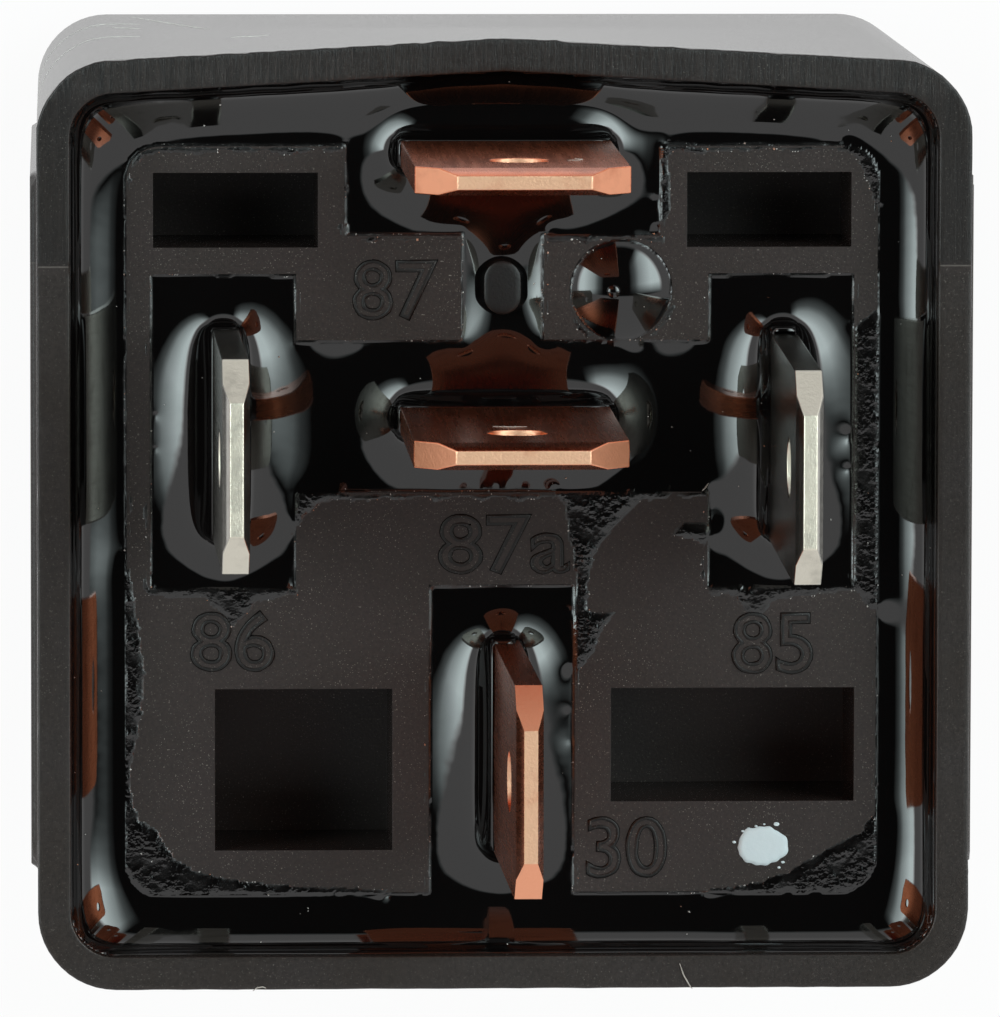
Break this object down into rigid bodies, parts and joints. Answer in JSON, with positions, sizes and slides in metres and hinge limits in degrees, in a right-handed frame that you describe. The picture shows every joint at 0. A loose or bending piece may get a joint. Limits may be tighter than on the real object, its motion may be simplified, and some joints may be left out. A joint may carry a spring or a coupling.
{
  "type": "automotive relay",
  "caption": "Square change-over relay: moulded can, base sealed with resin, blade terminals, hinged armature with contact spring, coil and yoke inside.",
  "frame": {"origin": "middle of the closed end of the can, on which the relay stands", "axes": "+Z from the closed end towards the blades; +Y towards the contact side, where terminal 87 is; +X towards terminal 85"},
  "size_m": [0.0284, 0.0289, 0.0365],
  "materials": {
    "can_plastic": "moulded glass-filled plastic, satin, with a rubbed rim",
    "base_plastic": "fine matt moulded plastic with dust specks",
    "resin": "cast sealing resin, wet gloss, dark brown to black",
    "copper": "bare stamped copper, bright",
    "tin": "tin-plated brass, satin",
    "soft_iron": "zinc-plated soft iron",
    "contact_silver": "silver alloy contact",
    "spring_bronze": "rolled spring bronze",
    "spring_steel": "drawn spring wire",
    "winding": "enamelled copper wire, wound in layers",
    "bobbin_plastic": "natural moulded nylon"
  },
  "bodies": {
    "housing": {"cover": "can_plastic", "base": "base_plastic", "potting": "resin", "terminal_30": "copper", "terminal_85": "tin", "terminal_86": "tin", "terminal_87": "copper", "terminal_87a": "copper", "yoke": "soft_iron", "core": "soft_iron", "bobbin": "bobbin_plastic", "coil": "winding", "contact_no": "contact_silver", "contact_nc": "contact_silver", "return_spring": "spring_steel", "braid": "copper", "coil_lead_85": "winding", "coil_lead_86": "winding"},
    "armature_unit": {"armature": "soft_iron", "contact_spring": "spring_bronze", "spring_rivets": "spring_bronze", "moving_contact": "contact_silver"}
  },
  "joints": [
    {"name": "armature_hinge", "type": "hinge", "parent": "housing", "child": "armature_unit", "pos_m": [0, -0.0104, 0.00598], "axis": [1, 0, 0], "range_deg": [0, 2.62], "stiffness_Nm_per_rad": 0.05, "springref_deg": -4.58, "deforming": ["return_spring", "braid"]}
  ]
}
